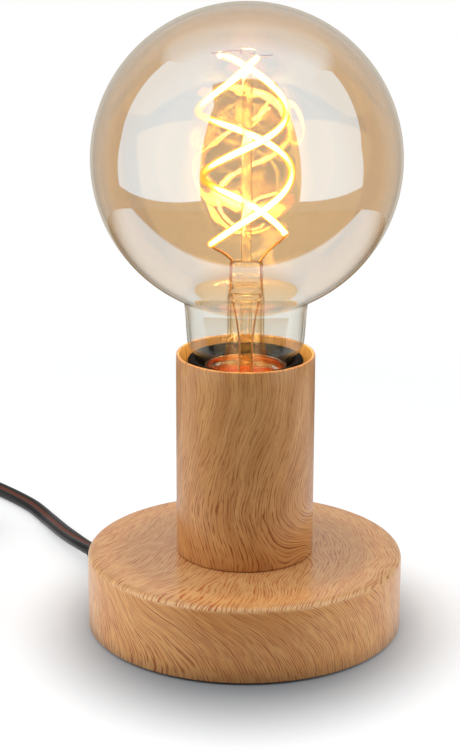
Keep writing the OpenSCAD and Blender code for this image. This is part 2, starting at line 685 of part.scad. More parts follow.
module bulb_stem() {
  z = cap_top - 6;
  color([0.85, 0.9, 0.9, 0.5]) {
    rotate_extrude() polygon([[12.6 - glass_t, z], [12.6 - glass_t, z + 0.8], [9.5, z + 3.4], [7.4, z + 7],
      [6.1, z + 12], [5.7, z + 17],
      [5.7, z + 29], [0, z + 29], [0, z + 27], [4.9, z + 27], [4.9, z + 17], [5.3, z + 12],
      [6.6, z + 6.8], [8.8, z + 2.6], [10.7, z]]);
    translate([0, 0, z + 28]) cylinder(h = 3.5, r1 = 5.4, r2 = 2.6);
    translate([0, 0, z + 28.5]) linear_extrude(press_top - z - 28.5) {
      square([6.1, 4.4], center = true);
      for (s = [-1, 1]) translate([s * 3.05, 0]) circle(r = 2.2);
    }
  }
}

module exhaust_tube() {
  z = cap_top - 4;
  color([0.85, 0.9, 0.9, 0.5]) difference() {
    union() {
      translate([0, 0, z + 1.9]) cylinder(h = 23.1, r = 1.9);
      translate([0, 0, z + 1.9]) sphere(r = 1.9);
    }
    translate([0, 0, z + 1.9]) cylinder(h = 30, r = 1.2);
  }
}

module filament_post() {
  color([0.9, 0.93, 0.93, 0.5]) {
    translate([0, 0, press_top]) cylinder(h = 64, r = rod_d / 2);
    translate([0, 0, press_top + 63.2]) cylinder(h = 0.8, r1 = rod_d / 2, r2 = 2.45);
    translate([0, 0, press_top + 64]) cylinder(h = 1, r = 2.45);
    translate([0, 0, press_top + 65]) cylinder(h = 0.6, r1 = 2.45, r2 = 1.6);
  }
}

module filament_a() {
  color([0.95, 0.75, 0.2]) sweep(path_a, round_sect(strand_d / 2, 8), [0, 0, 1]);
}

module filament_b() {
  color([0.95, 0.75, 0.2]) sweep(path_b, round_sect(strand_d / 2, 8), [0, 0, 1]);
}

module support_wires() {
  top = press_top + 64.4;
  color([0.7, 0.7, 0.68]) {
    sweep([[0.6, -1.2, top], [1.6, -3, top + 0.3], [path_a[0][0], path_a[0][1], path_a[0][2]],
      path_a[2]], round_sect(0.3, 6), [0, 0, 1]);
    sweep([[-1, 0.8, top], [-4.5, 3.4, top + 0.6], [path_b[0][0], path_b[0][1], path_b[0][2]],
      path_b[2]], round_sect(0.3, 6), [0, 0, 1]);
  }
}

module lead_wires() {
  color([0.7, 0.7, 0.68]) {
    sweep([[-4.3, 0, press_top - 2], [-4.5, -0.2, press_top + 0.4], [-6.4, -2.4, press_top + 3],
      [-9, -5.9, press_top + 5.4], end_a, path_a[len(path_a) - 3]], round_sect(0.4, 6), [0.4, 0.1, 1]);
    sweep([[4.3, 0, press_top - 2], [4.5, 0.2, press_top + 0.4], [6.4, 2, press_top + 2.8],
      [9.8, 5, press_top + 5], end_b, path_b[len(path_b) - 3]], round_sect(0.4, 6), [0.4, 0.1, 1]);
  }
}

module driver_board() {
  z = foot_z + 5.5;
  color([0.1, 0.35, 0.18]) {
    translate([-9, -0.6, z]) cube([18, 1.2, 14]);
    translate([-3.4, 4, z + 2]) cylinder(h = 9, r = 3.3);
    translate([-5, 0.5, z + 4]) cube([3, 1, 2]);
    translate([2.5, 0.5, z + 3]) cube([4.6, 2.2, 4]);
    translate([-4, -2.4, z + 5]) cube([5, 1.9, 4]);
    translate([3, -2, z + 9]) cube([4, 1.5, 2]);
  }
}

// ================= drawing =================
base_shell();
ballast_disc();
bottom_plate();
foot_pad();
plate_screws();
housing_tube();
threaded_nipple();
nipple_nut();
lock_washer();
lampholder_cap();
lampholder_shell();
terminal_block();
terminals();
terminal_screws();
screw_shell();
centre_contact();
wire_live();
wire_neutral();
cord_grommet();
cord_clamp();
clamp_screws();
mains_lead();
switch_lower();
switch_upper();
switch_screws();
switch_terminals();
switch_rocker();
lead_run();
cord_coil();
lead_tail();
plug_relief();
plug_body();
plug_pins();
pin_sleeves();
foot_contact();
bulb_globe();
bulb_stem();
exhaust_tube();
filament_post();
filament_a();
filament_b();
support_wires();
lead_wires();
cap_shell();
cap_insulator();
driver_board();
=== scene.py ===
import math

import bpy
import numpy as np
from mathutils import Matrix, Vector


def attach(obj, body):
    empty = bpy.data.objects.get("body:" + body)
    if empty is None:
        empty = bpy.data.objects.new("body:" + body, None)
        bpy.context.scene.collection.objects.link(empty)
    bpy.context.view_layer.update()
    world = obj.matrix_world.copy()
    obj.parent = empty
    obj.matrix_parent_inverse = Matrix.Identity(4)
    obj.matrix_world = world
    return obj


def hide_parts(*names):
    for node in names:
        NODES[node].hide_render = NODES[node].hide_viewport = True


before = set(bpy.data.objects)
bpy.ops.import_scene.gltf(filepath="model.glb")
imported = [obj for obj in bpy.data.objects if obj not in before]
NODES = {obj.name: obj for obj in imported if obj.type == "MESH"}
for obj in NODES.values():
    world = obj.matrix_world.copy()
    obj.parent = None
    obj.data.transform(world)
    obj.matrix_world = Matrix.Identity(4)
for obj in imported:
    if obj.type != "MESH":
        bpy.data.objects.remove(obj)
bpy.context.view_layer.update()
MM = 0.001
SCENE = bpy.context.scene

# sizes shared with the solids, in millimetres
BASE_R, BASE_H, BASE_ROUND = 50.0, 25.0, 2.0
TUBE_R, BORE_R, RIM_ROUND, RIM_Z = 21.7, 20.7, 0.5, 90.0
LIP_Z, JOIN_Z, BLOCK_Z, HOLDER_R, LIP_ROUND = 88.5, 44.0, 57.0, 18.0, 0.8
GLOBE_R, GLOBE_Z, NECK_R, GLASS = 47.5, 151.0, 19.0, 0.8
CAP_TOP, THREAD_PITCH = 86.0, 3.62
PRESS_TOP, SPIDER_Z, STRAND_R = 119.0, 183.4, 1.15
CORE_R, CORE_AT = 1.6, 1.1
CORD_HALF = CORE_R


# ---------------------------------------------------------------- helpers
def put(name, verts, faces, body, mats=(), smooth=True, index=None):
    """Makes an object of points in millimetres that rides on a body. index gives each face's material."""
    mesh = bpy.data.meshes.new(name)
    mesh.from_pydata([tuple(c * MM for c in v) for v in verts], [], faces)
    mesh.validate()
    mesh.update()
    for m in mats:
        mesh.materials.append(m)
    if index is not None:
        mesh.polygons.foreach_set("material_index", index)
    mesh.polygons.foreach_set("use_smooth", [smooth] * len(mesh.polygons))
    ob = bpy.data.objects.new(name, mesh)
    SCENE.collection.objects.link(ob)
    if body:
        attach(ob, body)
    return ob


def circle(r, n):
    return [(r * math.cos(2 * math.pi * i / n), r * math.sin(2 * math.pi * i / n)) for i in range(n)]


def quads(a, b, n, flip=False):
    """Faces between the rings of n vertices that start at a and b, turned over with flip."""
    faces = [(a + i, a + (i + 1) % n, b + (i + 1) % n, b + i) for i in range(n)]
    return [(f[0], f[3], f[2], f[1]) for f in faces] if flip else faces


def lathe(name, prof, body, mats=(), n=144, closed=True, pick=None, sharp=None):
    """Turns a profile of (radius, height) about Z. pick gives the material of each profile span."""
    verts, rings = [], []
    for r, z in prof:
        pole = r < 1e-6
        rings.append((len(verts), pole))
        verts += [(0.0, 0.0, z)] if pole else [(x, y, z) for x, y in circle(r, n)]
    faces, index = [], []
    for k in range(len(prof) if closed else len(prof) - 1):
        (a, pole_a), (b, pole_b) = rings[k], rings[(k + 1) % len(prof)]
        if pole_a and pole_b:
            continue
        if pole_a:
            faces += [(a, b + (i + 1) % n, b + i) for i in range(n)]
        elif pole_b:
            faces += [(a + i, a + (i + 1) % n, b) for i in range(n)]
        else:
            faces += quads(a, b, n)
        index += [pick(k) if pick else 0] * n
    ob = put(name, verts, faces, body, mats, index=index)
    if sharp:
        ob.data.set_sharp_from_angle(angle=math.radians(sharp))
    return ob


def arc(r, z, radius, angles):
    """Profile points round a corner, with their centre at (r, z)."""
    return [(r + radius * math.cos(a), z + radius * math.sin(a)) for a in angles]


def unit(v):
    return v / max(np.linalg.norm(v), 1e-12)


def ease(t):
    """Smooth step from 0 at 0 to 1 at 1."""
    t = max(0.0, min(1.0, t))
    return t * t * (3 - 2 * t)


def spline(points, steps):
    """A smooth curve through the points, with so many steps between each two."""
    p = [np.array(q, float) for q in points]
    out = []
    for i in range(len(p) - 1):
        a, b, c, d = p[max(i - 1, 0)], p[i], p[i + 1], p[min(i + 2, len(p) - 1)]
        for j in range(steps):
            t = j / steps
            out.append(0.5 * (2 * b + (c - a) * t + (2 * a - 5 * b + 4 * c - d) * t * t
                              + (3 * b - a - 3 * c + d) * t ** 3))
    return out + [p[-1]]


def sweep(name, path, sect, body, mats=(), up=(0, 0, 1), pick=None, scale=None, roll=None):
    """Draws a section along a path. roll(i) turns the section, scale(0..1) sizes it."""
    path = [np.array(q, float) for q in path]
    count, last = len(sect), len(path) - 1
    verts, faces = [], []
    for i, point in enumerate(path):
        ahead = unit(path[min(i + 1, last)] - path[max(i - 1, 0)])
        side = unit(np.cross(ahead, np.array(up, float)))
        over = np.cross(side, ahead)
        if roll:
            c, s = math.cos(roll(i)), math.sin(roll(i))
            side, over = c * side + s * over, c * over - s * side
        size = scale(i / last) if scale else 1.0
        verts += [tuple(point + size * x * side + size * y * over) for x, y in sect]
    for i in range(last):
        faces += quads(i * count, (i + 1) * count, count, flip=True)
    faces += [tuple(range(count)), tuple(last * count + j for j in reversed(range(count)))]
    index = [pick(j) if pick else 0 for j in range(count)] * last + [0, 0]
    return put(name, verts, faces, body, mats, index=index)


# ---------------------------------------------------------------- node trees
class Tree:
    """Short calls for a node tree. Most inputs take a socket, a number or a colour."""

    def __init__(self, tree):
        self.tree = tree

    def new(self, kind, **settings):
        node = self.tree.nodes.new("ShaderNode" + kind)
        for key, value in settings.items():
            setattr(node, key, value)
        return node

    def link(self, a, b):
        self.tree.links.new(a, b)

    def feed(self, socket, value):
        if isinstance(value, (int, float)):
            socket.default_value = value
        elif isinstance(value, tuple):
            socket.default_value = (*value, 1.0)
        else:
            self.link(value, socket)

    def math(self, op, *values):
        node = self.new("Math", operation=op)
        for socket, value in zip(node.inputs, values):
            self.feed(socket, value)
        return node.outputs[0]

    def add(self, *values):
        total = values[0]
        for value in values[1:]:
            total = self.math("ADD", total, value)
        return total

    def mul(self, *values):
        product = values[0]
        for value in values[1:]:
            product = self.math("MULTIPLY", product, value)
        return product

    def step(self, value, lo, hi, out_lo=0.0, out_hi=1.0):
        """Smooth step of value, from out_lo at lo to out_hi at hi."""
        node = self.new("MapRange", interpolation_type="SMOOTHSTEP")
        inputs = {"Value": value, "From Min": lo, "From Max": hi, "To Min": out_lo, "To Max": out_hi}
        for key, number in inputs.items():
            self.feed(node.inputs[key], number)
        return node.outputs[0]

    def ramp(self, fac, stops):
        node = self.new("ValToRGB")
        elements = node.color_ramp.elements
        while len(elements) < len(stops):
            elements.new(0.5)
        for element, (position, colour) in zip(elements, stops):
            element.position = position
            element.color = (*colour, 1.0)
        self.link(fac, node.inputs[0])
        return node.outputs[0]

    def noise(self, at, scale, detail=2.0, rough=0.5):
        node = self.new("TexNoise")
        node.inputs["Scale"].default_value = scale
        node.inputs["Detail"].default_value = detail
        node.inputs["Roughness"].default_value = rough
        self.link(at, node.inputs["Vector"])
        return node.outputs["Fac"]

    def mix(self, fac, a, b):
        node = self.new("Mix", data_type="RGBA")
        for socket, value in ((node.inputs[0], fac), (node.inputs[6], a), (node.inputs[7], b)):
            self.feed(socket, value)
        return node.outputs[2]

    def point(self, x, y, z=0.0):
        node = self.new("CombineXYZ")
        for socket, value in zip(node.inputs, (x, y, z)):
            self.feed(socket, value)
        return node.outputs[0]

    def axes(self, at):
        node = self.new("SeparateXYZ")
        self.link(at, node.inputs[0])
        return node.outputs

    def mapped(self, at, location, scale):
        node = self.new("Mapping")
        self.link(at, node.inputs["Vector"])
        node.inputs["Location"].default_value = location
        node.inputs["Scale"].default_value = scale
        return node.outputs[0]

    def length(self, at):
        node = self.new("VectorMath", operation="LENGTH")
        self.link(at, node.inputs[0])
        return node.outputs["Value"]

    def light(self, kind, colour, strength):
        """An Emission or Background shader."""
        node = self.new(kind)
        self.feed(node.inputs["Color"], colour)
        self.feed(node.inputs["Strength"], strength)
        return node.outputs[0]

    def both(self, first, second):
        node = self.new("AddShader")
        self.link(first, node.inputs[0])
        self.link(second, node.inputs[1])
        return node.outputs[0]

    def blend(self, share, first, second):
        """Shader first where share is 0, second where it is 1."""
        node = self.new("MixShader")
        for socket, value in zip(node.inputs, (share, first, second)):
            self.feed(socket, value)
        return node.outputs[0]


class Net(Tree):
    """The node tree of a new material."""

    def __init__(self, name):
        self.mat = bpy.data.materials.new(name)
        self.mat.use_nodes = True
        super().__init__(self.mat.node_tree)
        self.bsdf = self.tree.nodes["Principled BSDF"]
        self.surface = self.tree.nodes["Material Output"].inputs["Surface"]

    def place(self):
        return self.new("TexCoord").outputs["Object"]

    def facing_away(self):
        node = self.new("LayerWeight")
        node.inputs["Blend"].default_value = 0.5
        return node.outputs["Facing"]

    def mirror(self, colour):
        node = self.new("BsdfGlossy")
        self.feed(node.inputs["Color"], colour)
        node.inputs["Roughness"].default_value = 0.0
        return node

    def clear(self, colour):
        node = self.new("BsdfTransparent")
        self.feed(node.inputs["Color"], colour)
        return node.outputs[0]

    def bump(self, height, strength, distance=0.0002, onto=None):
        node = self.new("Bump")
        node.inputs["Strength"].default_value = strength
        node.inputs["Distance"].default_value = distance
        self.link(height, node.inputs["Height"])
        self.link(node.outputs[0], (onto or self.bsdf).inputs["Normal"])

    def set(self, **values):
        for key, value in values.items():
            self.feed(self.bsdf.inputs[key.replace("_", " ")], value)


# ---------------------------------------------------------------- materials
BLACK_TO_WHITE = ((0.0, 0.0, 0.0), (1.0, 1.0, 1.0))


def lin(*rgb):
    """The linear colour of an sRGB one in 0 to 255."""
    return tuple(((c / 255 + 0.055) / 1.055) ** 2.4 if c > 10 else c / 255 / 12.92 for c in rgb)


def grey(value):
    return (value, value, value)


def plain(name, rgb, rough, metal=0.0, grain=600.0, depth=0.06, spread=0.08, **more):
    """A moulded or metal surface: a fine texture, small colour variation, roughness that varies."""
    n = Net(name)
    at = n.place()
    base = lin(*rgb)
    fine = n.noise(at, grain, 3.0)
    broad = n.ramp(n.noise(at, 45.0), list(zip((0.3, 0.7), BLACK_TO_WHITE)))
    darker = tuple(c * (1 - spread) for c in base)
    lighter = tuple(min(1.0, c * (1 + spread)) for c in base)
    n.link(n.mix(broad, darker, lighter), n.bsdf.inputs["Base Color"])
    n.link(n.ramp(fine, [(0.25, grey(rough * 0.85)), (0.75, grey(min(1, rough * 1.15)))]),
           n.bsdf.inputs["Roughness"])
    n.bump(fine, depth)
    n.set(Metallic=metal, **more)
    return n.mat


def swell(n, value, middle, width):
    """1 at the middle, falling to nothing a few widths away."""
    d = n.mul(n.add(value, -middle), 1.0 / width)
    return n.math("EXPONENT", n.mul(n.mul(d, d), -1.0))


def wood_lines(n, across, along, pitch, width, seed):
    """Wavy lines a pitch apart, broken into strokes of different weight."""
    sway = n.noise(n.point(n.mul(across, 0.42), n.mul(along, 0.09), seed), 1.0, 2.0, 0.6)
    wave = n.math("SINE", n.mul(n.add(n.mul(across, 1.0 / pitch), n.mul(sway, 1.6)), 2 * math.pi))
    gate = n.noise(n.point(n.mul(across, 0.8), n.mul(along, 0.2), seed + 3.7), 1.0, 1.0, 0.5)
    return n.mul(n.step(wave, 1.0 - width, 1.0), n.step(gate, 0.38, 0.58))


def tube_flow(n, x, y, z):
    """Fields across and along the tube's grain, and how strong its strokes are, from millimetres."""
    u = n.mul(n.math("ARCTAN2", x, n.mul(y, -1.0)), TUBE_R)
    v = n.add(z, -BASE_H)
    lean = n.add(n.mul(n.step(v, 16.0, 62.0), 10.0), n.mul(n.step(v, 0.0, 20.0), -4.5))
    # low on the right the lines wrap round a swirl
    du = n.add(u, -33.0)
    dv = n.mul(n.math("MINIMUM", n.add(v, -24.0), 0.0), n.mul(n.step(u, -2.0, 24.0), 1.1))
    ring = n.math("SQRT", n.add(n.mul(du, du), n.mul(dv, dv)))
    waver = n.noise(n.point(n.mul(u, 0.05), n.mul(v, 0.04)), 1.0, 1.0, 0.4)
    across = n.add(n.mul(ring, -1.0), n.mul(lean, -1.0), n.mul(waver, 7.0))
    strong = n.add(n.mul(n.step(v, 52.0, 14.0), 0.45), 0.6)
    return across, v, strong


def foot_flow(n, x, y, z):
    """The same fields for the foot: its side slants, most at the front; its top bows out at the right."""
    round_it = n.mul(n.math("ARCTAN2", x, n.mul(y, -1.0)), BASE_R)
    drop = n.add(BASE_H, n.mul(z, -1.0))
    fall = n.mul(drop, n.add(1.8, n.mul(drop, -0.035)))
    slant = n.add(n.mul(swell(n, round_it, 0.0, 36.0), 0.7), 0.4)
    side = n.add(round_it, n.mul(n.mul(fall, slant), -1.0))
    back = n.add(y, 5.0)
    left = n.mul(n.step(x, 15.0, -45.0), n.mul(n.add(y, 12.0), 0.62))
    right = n.mul(n.step(x, -5.0, 35.0), n.mul(n.mul(back, back), 0.0085))
    top = n.add(x, n.mul(left, -1.0), right)
    upper = n.math("GREATER_THAN", z, BASE_H - 1.2)
    lower = n.add(1.0, n.mul(upper, -1.0))
    waver = n.noise(n.point(n.mul(x, 0.045), n.mul(y, 0.045), n.mul(z, 0.045)), 1.0, 1.0, 0.4)
    across = n.add(n.mul(side, lower), n.mul(top, upper), n.mul(waver, 10.0))
    along = n.add(n.mul(z, lower), n.mul(y, upper))
    strong = n.add(n.mul(n.step(x, 48.0, 0.0), 0.2), 0.95)
    return across, along, strong, round_it


def wood(name, kind, **tones):
    """Printed wood film: fine strokes along flowing lines, the level lines of a field over the surface. Some
    of its tones are painted light and shade.
    """
    n = Net(name)
    tone = {key: lin(*rgb) for key, rgb in tones.items()}
    x, y, z = (n.mul(axis, 1000.0) for axis in n.axes(n.place()))
    if kind == "tube":
        across, along, strong = tube_flow(n, x, y, z)
        pitch = 1.4
    else:
        across, along, strong, round_it = foot_flow(n, x, y, z)
        pitch = 1.15
    bold = wood_lines(n, across, along, pitch, 0.55, 0.0)
    fine = wood_lines(n, across, along, 0.85, 0.75, 11.0)
    broad = n.noise(n.point(n.mul(across, 0.22), n.mul(along, 0.03)), 1.0, 2.0, 0.5)
    pores = n.noise(n.point(n.mul(across, 2.2), n.mul(along, 0.25)), 1.0, 2.0, 0.6)
    ground = n.mix(n.ramp(broad, list(zip((0.32, 0.68), BLACK_TO_WHITE))), tone["mid"], tone["pale"])
    if kind == "tube":
        # painted light: the wall inside the tube and the inner edge of its rim, where the light of the
        # strands falls, are painted a paler gold
        radius = n.math("SQRT", n.add(n.mul(x, x), n.mul(y, y)))
        ground = n.mix(n.mul(n.step(radius, TUBE_R - 0.3, TUBE_R - 0.9), 0.85), ground, tone["bore"])
    else:
        # painted shade: the front centre of the foot's side is a darker, redder tone
        ground = n.mix(n.mul(swell(n, round_it, 0.0, 26.0), 0.6), ground, tone["front"])
        # painted light and shade: the foot's top has its own darker tone, and its side lighter tones than the
        # tube's
        ground = n.mix(n.mul(n.step(z, BASE_H - 2.1, BASE_H - 0.2), 0.75), ground, tone["top"])
        # painted highlight: a pale band along the rounded top edge
        ground = n.mix(n.mul(swell(n, z, BASE_H - 0.9, 0.7), 0.5), ground, tone["edge"])
    ink = n.mul(n.math("MAXIMUM", bold, n.mul(fine, 0.7)), n.mul(strong, 0.9))
    ink = n.math("MAXIMUM", ink, n.mul(n.step(pores, 0.50, 0.72), 0.28))
    n.link(n.mix(ink, ground, tone["dark"]), n.bsdf.inputs["Base Color"])
    n.link(n.ramp(broad, [(0.3, grey(0.44)), (0.7, grey(0.38))]), n.bsdf.inputs["Roughness"])
    n.bump(ink, 0.05, 0.00012)
    n.set(Coat_Weight=0.6, Coat_Roughness=0.2, Specular_IOR_Level=0.35)
    return n.mat


# the globe's coat fades in above the neck, and ripples in an oval patch level with the strands, in metres
NECK_TOP, COAT_FULL = 0.097, 0.113
PATCH_Z, PATCH_W, PATCH_H = 0.150, 0.017, 0.033
BARE_BOUNCE = (0.03, 0.035, 0.04)


def thin_skin(name, passed, thrown, thrown_inside, rim, neck=None, patch=None):
    """One face of thin glass: tinted light passes, a coat throws some back, the rim mirrors most.

    passed is a ramp over how far the face turns away; neck is the tint below the coat. patch is what the
    rippled part of the coat throws back.
    """
    n = Net(name)
    n.tree.nodes.remove(n.bsdf)
    away = n.facing_away()
    at = n.place()
    tint = n.ramp(away, passed)
    bounce = n.mix(n.new("NewGeometry").outputs["Backfacing"], thrown, thrown_inside)
    if neck:
        coated = n.step(n.axes(at)[2], NECK_TOP, COAT_FULL)
        tint = n.mix(coated, neck, tint)
        bounce = n.mix(coated, BARE_BOUNCE, bounce)
    if patch:
        oval = n.mapped(at, (0, 0, -PATCH_Z / PATCH_H), (1 / PATCH_W, 0, 1 / PATCH_H))
        rippled = n.step(n.length(oval), 1.2, 0.8)
        mirror = n.mirror(n.mix(rippled, bounce, patch))
        n.bump(n.mul(n.noise(at, 85.0, 1.0, 0.4), rippled), 1.0, 0.0004, onto=mirror)
    else:
        mirror = n.mirror(bounce)
    through = n.both(n.clear(tint), mirror.outputs[0])
    share = n.math("MULTIPLY_ADD", n.math("POWER", away, 6.0), 0.98, 0.02)
    n.link(n.blend(share, through, n.mirror(rim).outputs[0]), n.surface)
    return n.mat


def real_glass(name, tint, ior, straight=0.0):
    """Clear glass; straight is the share of light that passes as through a thin wall."""
    n = Net(name)
    n.set(Base_Color=tint, Roughness=0.0, IOR=ior, Transmission_Weight=1.0)
    if straight:
        n.link(n.blend(straight, n.bsdf.outputs[0], n.clear(tint)), n.surface)
    return n.mat


def cement_painted_glow(name):
    """Basing cement coloured with painted glow of the strands' light: dark crimson at the cap's wall, lighter
    up its slope and gold near the stem.
    """
    n = Net(name)
    at = n.place()
    low = n.math("MULTIPLY_ADD", n.axes(at)[2], 1000.0 / 8, -(CAP_TOP - 7.5) / 8)
    # painted glow: the colour rises from dark crimson to orange up the slope
    painted_red_glow = n.ramp(low, [(0.0, (0.32, 0.035, 0.003)), (0.5, (0.42, 0.08, 0.008)), (1.0, (0.8, 0.42, 0.1))])
    radius = n.length(n.mapped(at, (0, 0, 0), (1, 1, 0)))
    painted_golden_glow = n.step(radius, 0.0095, 0.0055)
    n.link(n.mix(painted_golden_glow, painted_red_glow, (0.85, 0.46, 0.09)), n.bsdf.inputs["Base Color"])
    n.bump(n.noise(at, 700.0, 3.0), 0.3)
    n.set(Roughness=0.5)
    return n.mat


def glow(name):
    """Lit phosphor coat: white-hot where it faces the eye, yellow and orange towards its edges."""
    n = Net(name)
    colours = [(0.0, (1.0, 0.8, 0.4)), (0.32, (0.8, 0.55, 0.2)), (0.44, (0.35, 0.14, 0.025)),
               (0.6, (0.16, 0.045, 0.004)), (1.0, (0.06, 0.012, 0.001))]
    n.link(n.ramp(n.facing_away(), colours), n.bsdf.inputs["Emission Color"])
    n.set(Base_Color=lin(240, 190, 70), Roughness=0.5, Emission_Strength=14.0)
    return n.mat


M = {
    # the tube's last tone is painted light, a pale gold glow on its inner wall
    "tube": wood("printed_wood_tube", "tube", pale=(222, 165, 101), mid=(201, 140, 79), dark=(151, 81, 31),
                 bore=(250, 196, 112)),
    # the foot's tones hold painted light and shade: pale and mid are raised on the side, top is darker, front
    # is painted shade and edge a painted highlight
    "foot": wood("printed_wood_foot", "foot", pale=(252, 193, 120), mid=(238, 168, 98), dark=(176, 88, 34),
                 top=(204, 160, 105), edge=(255, 214, 160), front=(222, 148, 79)),
    "holder": plain("black_holder", (9, 7, 6), 0.6, grain=900, depth=0.03, Specular_IOR_Level=0.06),
    "case": plain("black_switch", (22, 22, 23), 0.45, grain=1500, depth=0.25),
    "rocker": plain("black_rocker", (30, 30, 31), 0.3, grain=900, depth=0.05),
    "rubber": plain("black_rubber", (24, 23, 23), 0.6, grain=1100, depth=0.15),
    "cord": plain("cord_black", (17, 15, 14), 0.36, grain=700, depth=0.1),
    "stripe": plain("cord_stripe", (98, 46, 22), 0.42, grain=700, depth=0.1),
    "iron": plain("cast_iron", (70, 70, 72), 0.7, 0.8, grain=500, depth=0.5, spread=0.2),
    "steel": plain("black_steel", (34, 34, 35), 0.4, 0.2, grain=700, depth=0.1),
    "foam": plain("foam", (38, 38, 38), 0.95, grain=900, depth=0.8),
    "zinc": plain("zinc", (190, 190, 184), 0.3, 1.0, grain=500, depth=0.1),
    "brass": plain("brass", (214, 176, 100), 0.25, 1.0, grain=600, depth=0.08),
    "nickel": plain("nickel", (214, 208, 196), 0.18, 1.0, grain=500, depth=0.04),
    "ceramic": plain("ceramic", (228, 222, 208), 0.4, grain=400, depth=0.08),
    "brown": plain("wire_brown", (96, 52, 26), 0.4),
    "blue": plain("wire_blue", (40, 74, 140), 0.4),
    "solder": plain("solder", (186, 186, 182), 0.35, 1.0, grain=300, depth=0.3),
    "wire": plain("wire_steel", (200, 138, 66), 0.35, 0.3),
    "jet": plain("black_glass", (16, 14, 18), 0.08, Coat_Weight=0.5),
    "board": plain("board", (30, 92, 50), 0.4, spread=0.2),
    "amber": thin_skin("amber_glass", [(0.0, (0.72, 0.59, 0.44)), (0.42, (0.735, 0.60, 0.455)),
                                       (0.8, (0.78, 0.65, 0.495))],
                       thrown=(0.165, 0.305, 0.41), thrown_inside=(0.08, 0.09, 0.07),
                       rim=(0.95, 0.85, 0.70), neck=(0.83, 0.81, 0.76)),
    "amber_in": thin_skin("amber_glass_inside", [(0.0, (1, 1, 1)), (1.0, (1, 0.99, 0.98))],
                          thrown=(0.11, 0.085, 0.034), thrown_inside=(0.0, 0.0, 0.0), rim=(1.0, 0.93, 0.8),
                          neck=(0.995, 0.995, 0.99), patch=(0.30, 0.22, 0.055)),
    "stem": thin_skin("stem_glass", [(0.0, (0.99, 0.985, 0.97)), (0.6, (0.95, 0.9, 0.8)),
                                     (0.82, (0.90, 0.79, 0.64)), (1.0, (0.74, 0.58, 0.40))],
                      thrown=(0.04, 0.035, 0.025), thrown_inside=(0.04, 0.035, 0.025), rim=(1.0, 0.9, 0.7)),
    "press": real_glass("press_glass", (1.0, 0.97, 0.9), 1.45),
    "rod": real_glass("rod_glass", (1.0, 0.97, 0.9), 1.25, straight=0.55),
    "glow": glow("phosphor"),
    # painted glow: the cement's colours stand in for the strands' light
    "cement_painted_glow": cement_painted_glow("basing_cement_painted_glow"),
}
CAD_MATS = {
    "foot": ("base_shell",),
    "iron": ("ballast_disc",),
    "steel": ("bottom_plate",),
    "foam": ("foot_pad",),
    "zinc": ("plate_screws", "nipple_nut", "lock_washer", "terminal_screws", "cord_clamp", "clamp_screws",
             "switch_screws"),
    "brass": ("threaded_nipple", "terminals", "centre_contact", "switch_terminals"),
    "holder": ("lampholder_cap", "pin_sleeves"),
    "ceramic": ("terminal_block",),
    "brown": ("wire_live",),
    "blue": ("wire_neutral",),
    "rubber": ("cord_grommet", "plug_relief"),
    "case": ("switch_lower", "switch_upper", "plug_body"),
    "rocker": ("switch_rocker",),
    "nickel": ("plug_pins",),
    "solder": ("foot_contact",),
    "stem": ("exhaust_tube",),
    "jet": ("cap_insulator",),
    "board": ("driver_board",),
}
for key, names in CAD_MATS.items():
    for name in names:
        slots = NODES[name].data.materials
        slots.clear()
        slots.append(M[key])

# ---------------------------------------------------------------- camera
YAW, PITCH, ROLL = (math.radians(a) for a in (-0.4213, 17.023, 0.2186))
EYE = (0, -0.65985, 0.28458)
FOCAL_PIXELS, PHOTO_H, SENSOR = 2209.86, 751, 36
forward = Vector((math.sin(YAW) * math.cos(PITCH), math.cos(YAW) * math.cos(PITCH), -math.sin(PITCH)))
level = Vector((math.cos(YAW), -math.sin(YAW), 0))
upward = level.cross(forward)
right = level * math.cos(ROLL) + upward * math.sin(ROLL)
top = -level * math.sin(ROLL) + upward * math.cos(ROLL)
camera = bpy.data.objects.new("camera", bpy.data.cameras.new("camera"))
SCENE.collection.objects.link(camera)
camera.matrix_world = Matrix.Translation(EYE) @ Matrix((right, top, -forward)).transposed().to_4x4()
camera.data.sensor_width = SENSOR
camera.data.lens = FOCAL_PIXELS * SENSOR / PHOTO_H
camera.data.clip_start, camera.data.clip_end = 0.01, 20
SCENE.camera = camera

# ---------------------------------------------------------------- lead
LEAD_AZ = math.radians(139)
LIE_Z, EXIT_Z = 1.6, 5.8


def out_at(r, z):
    """A point on the line along which the lead leaves the foot."""
    return (r * math.cos(LEAD_AZ), r * math.sin(LEAD_AZ), z)


LAMP_PATH = [out_at(r, z) for r, z in ((12.5, 8), (18, 8), (26, 8), (31, 7.7), (38, 6.2), (44, EXIT_Z))]
FLOOR_PATH = [out_at(r, EXIT_Z) for r in (44, 52, 60, 68)] + [
    (-56.6, 53, 5.4), (-61, 61.9, 4.5), (-65.4, 72.1, 3.4), (-70, 83.5, 2.3), (-74.3, 92.5, 1.7),
    (-78.7, 100, LIE_Z), (-87.2, 111, LIE_Z), (-97, 121.5, LIE_Z), (-110, 131.5, LIE_Z),
    (-124, 137.5, LIE_Z), (-138, 137.5, LIE_Z), (-150.5, 131, LIE_Z), (-159.3, 121.5, 2.7),
    (-164.2, 112, 5.3), (-165, 105, 6), (-165, 99, 6), (-165, 92.5, 6)]
RUN_PATH = [(-165, 57.5, 6), (-165, 50, 6), (-165, 44.4, 5.9), (-166.8, 33.5, 3.3), (-172.5, 21, 1.7),
            (-178.5, 9, LIE_Z), (-182, -1, LIE_Z), (-182, -2.6, LIE_Z)]
TAIL_PATH = [(-96, -2.6, 5.3), (-96.4, 4, 5.4), (-101, 15, 5.9), (-109, 25, 6.5), (-114, 35, 6.85),
             (-114, 45, 6.85), (-114, 54, 6.85)]
COIL_X, COIL_Y, COIL_R, COIL_PITCH, LAYER = -139.0, -8.0, 43.0, 6.0, 3.7
LOWER_TURNS, ALL_TURNS, TURN_STEPS = 3.5, 6.5, 64


